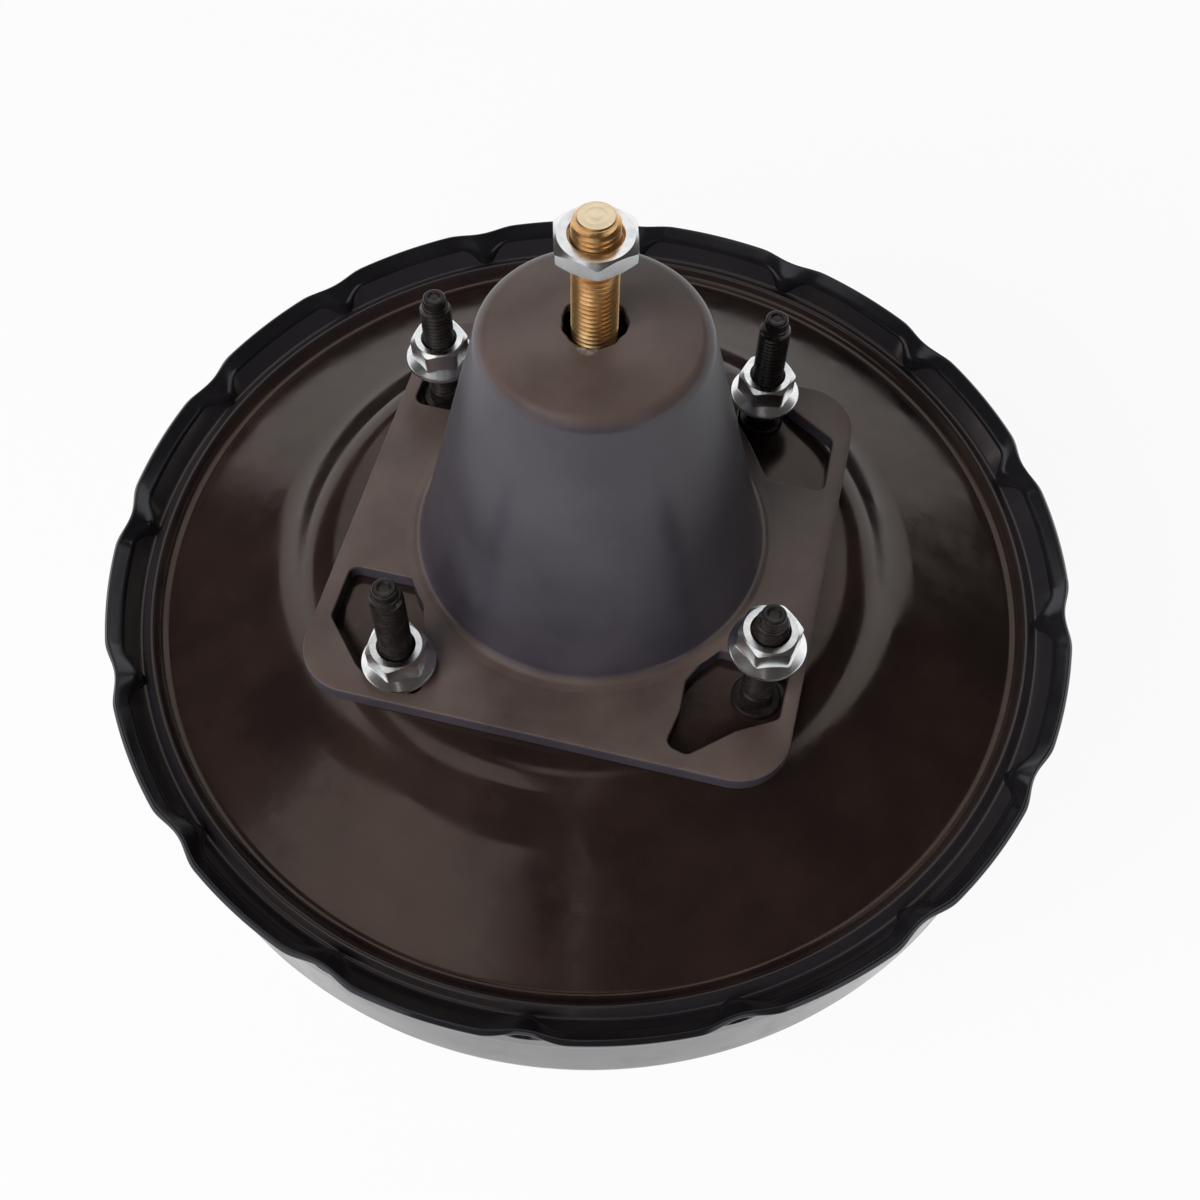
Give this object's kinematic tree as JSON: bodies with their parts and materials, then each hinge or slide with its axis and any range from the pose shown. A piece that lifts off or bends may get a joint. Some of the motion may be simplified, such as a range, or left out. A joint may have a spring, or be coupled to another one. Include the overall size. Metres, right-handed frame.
{
  "type": "brake booster",
  "caption": "Single-diaphragm vacuum brake booster: crimped black steel shells, dust boot, threaded input rod, studs with flange nuts.",
  "frame": {"origin": "centre of the square of four firewall studs, on the face that bears on the firewall (top of the boot's flange)", "axes": "+Z along the input rod into the cabin; +X and +Y along the sides of the stud square"},
  "size_m": [0.25, 0.25, 0.2294],
  "materials": {
    "black_enamel": "gloss",
    "boot_rubber": "satin",
    "black_oxide_steel": "satin",
    "clear_zinc": "polished",
    "yellow_zinc": "satin",
    "zinc_steel": "satin",
    "spring_steel": "satin",
    "plunger_steel": "machined",
    "phenolic": "matte",
    "valve_plastic": "satin",
    "bearing_plastic": "matte",
    "seal_rubber": "matte",
    "diaphragm_rubber": "matte",
    "felt": "matte",
    "filter_foam": "matte"
  },
  "bodies": {
    "housing": {"front_shell": "black_enamel", "rear_shell": "black_enamel", "rear_stiffening_plate": "zinc_steel", "front_stiffening_plate": "zinc_steel", "firewall_studs": "black_oxide_steel", "firewall_flange_nuts": "clear_zinc", "master_cylinder_studs": "black_oxide_steel", "dust_boot": "boot_rubber", "rear_bearing": "bearing_plastic", "rear_seal": "seal_rubber", "rear_seal_retainer": "zinc_steel", "front_seal": "seal_rubber", "front_seal_retainer": "zinc_steel", "check_valve_grommet": "seal_rubber", "check_valve_cap": "valve_plastic", "check_valve_body": "valve_plastic", "check_valve_spring": "spring_steel", "diaphragm": "diaphragm_rubber", "return_spring": "spring_steel"},
    "power_piston": {"valve_body": "phenolic", "diaphragm_plate": "zinc_steel", "reaction_disc": "seal_rubber", "output_rod": "zinc_steel", "output_rod_adjuster": "zinc_steel", "output_rod_retainer": "spring_steel", "stop_key": "zinc_steel", "poppet_bellows": "seal_rubber", "poppet_retainer": "zinc_steel", "poppet_spring": "spring_steel", "input_return_spring": "spring_steel", "silencer_felt": "felt", "air_filter": "filter_foam", "filter_retainer": "valve_plastic"},
    "poppet": {"poppet_valve": "seal_rubber"},
    "air_valve": {"plunger": "plunger_steel"},
    "pedal_rod": {"input_rod": "yellow_zinc", "rod_spring_seat": "zinc_steel", "rod_lock_nut": "clear_zinc"},
    "check_disc": {"check_valve_disc": "seal_rubber"}
  },
  "joints": [
    {"name": "piston_stroke", "type": "slide", "parent": "housing", "child": "power_piston", "axis": [0, 0, 1], "range_m": [-0.032, 0], "stiffness_N_per_m": 5000, "springref_m": 0.02, "deforming": ["return_spring", "diaphragm", "dust_boot"]},
    {"name": "air_valve_travel", "type": "slide", "parent": "power_piston", "child": "air_valve", "axis": [0, 0, 1], "range_m": [-0.0018, 0], "stiffness_N_per_m": 2000, "springref_m": 0.006, "deforming": ["input_return_spring"]},
    {"name": "poppet_travel", "type": "slide", "parent": "power_piston", "child": "poppet", "axis": [0, 0, 1], "range_m": [-0.00081, 0], "deforming": ["poppet_bellows", "poppet_spring"]},
    {"name": "rod_swing", "type": "hinge", "parent": "air_valve", "child": "pedal_rod", "pos_m": [0, 0, 0.0028], "axis": [1, 0, 0], "range_deg": [-1, 1], "stiffness_Nm_per_rad": 4},
    {"name": "check_disc_lift", "type": "slide", "parent": "housing", "child": "check_disc", "axis": [0, 0, 1], "range_m": [-0.0015, 0], "stiffness_N_per_m": 150, "springref_m": 0.003, "deforming": ["check_valve_spring"]}
  ],
  "couplings": [
    {"joint": "poppet_travel", "follows": "air_valve_travel", "ratio": 0.45}
  ]
}
